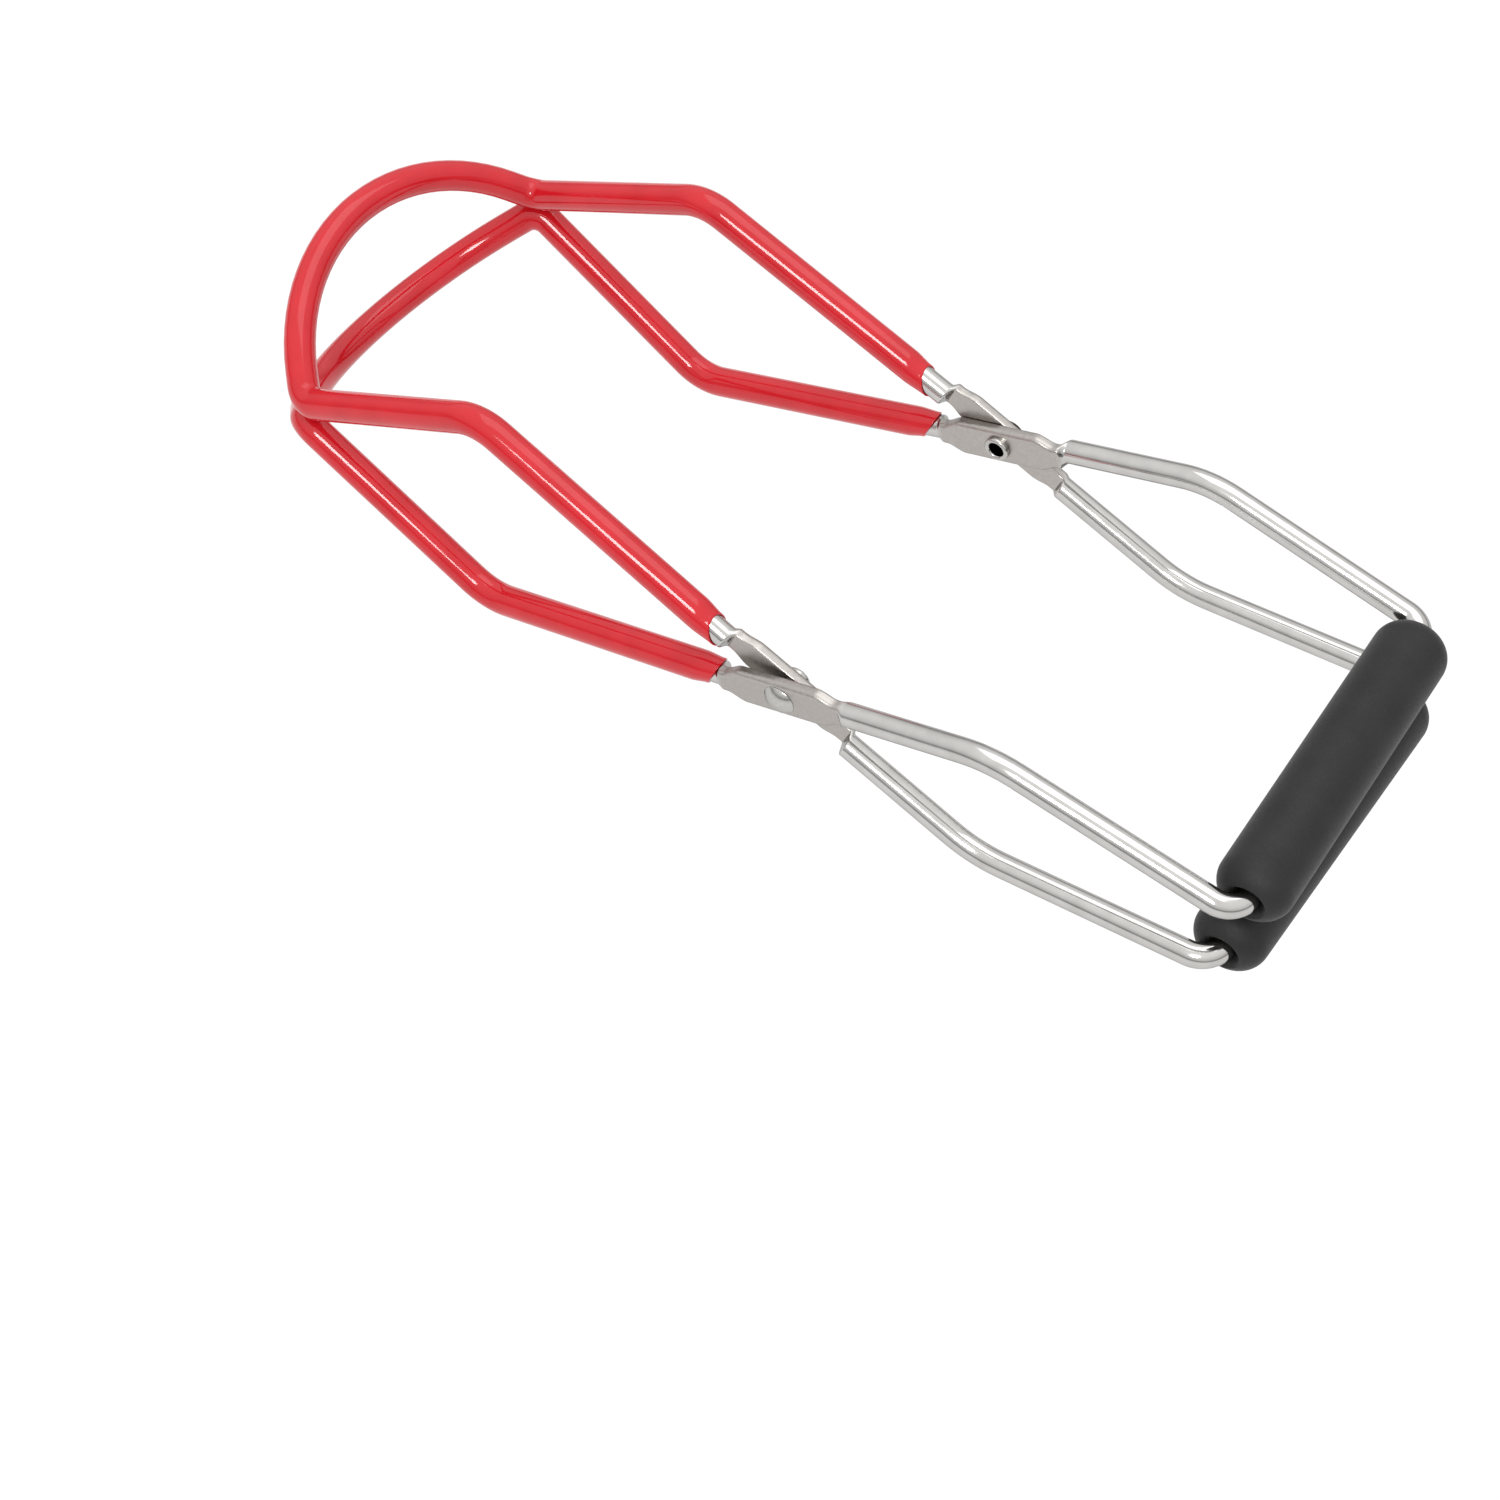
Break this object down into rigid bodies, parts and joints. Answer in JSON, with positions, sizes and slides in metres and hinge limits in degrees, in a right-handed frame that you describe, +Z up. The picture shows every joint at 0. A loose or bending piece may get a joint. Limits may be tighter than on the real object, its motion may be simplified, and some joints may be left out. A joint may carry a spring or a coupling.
{
  "type": "jar lifter",
  "caption": "Scissor jar lifter: two crossed bent-wire frames riveted together, red sleeves on curved jaws, black tube grips on the handle bars.",
  "frame": {"origin": "below the middle of the closed tool's footprint, level with its lowest point", "axes": "+X from the jaws to the handles, +Y along the pivot axis, +Z up; the closed tool's mirror plane is level"},
  "size_m": [0.2462, 0.0884, 0.0582],
  "materials": {
    "plated_wire": "bright nickel plate, satin on the flattened plates",
    "red_vinyl": "glossy vinyl",
    "black_grip": "matte soft grip",
    "rivet_steel": "satin nickel plate"
  },
  "bodies": {
    "lower_handle_side": {"lower_handle_frame": "plated_wire", "upper_jaw_sleeve": "red_vinyl"},
    "upper_handle_side": {"upper_handle_frame": "plated_wire", "lower_jaw_sleeve": "red_vinyl", "near_pivot_rivet": "rivet_steel", "far_pivot_rivet": "rivet_steel"},
    "upper_grip_tube": {"upper_grip": "black_grip"},
    "lower_grip_tube": {"lower_grip": "black_grip"}
  },
  "joints": [
    {"name": "jaw_pivot", "type": "hinge", "parent": "lower_handle_side", "child": "upper_handle_side", "pos_m": [0.01929, 0.00007, 0.02909], "axis": [0, -1, 0], "range_deg": [0, 118]},
    {"name": "upper_grip_turn", "type": "hinge", "parent": "upper_handle_side", "child": "upper_grip_tube", "pos_m": [0.11509, 0.00007, 0.03784], "axis": [-0.0176, 0.9998, 0], "continuous": true},
    {"name": "lower_grip_turn", "type": "hinge", "parent": "lower_handle_side", "child": "lower_grip_tube", "pos_m": [0.11509, 0.00007, 0.02034], "axis": [0.0174, 0.9998, 0], "continuous": true}
  ]
}
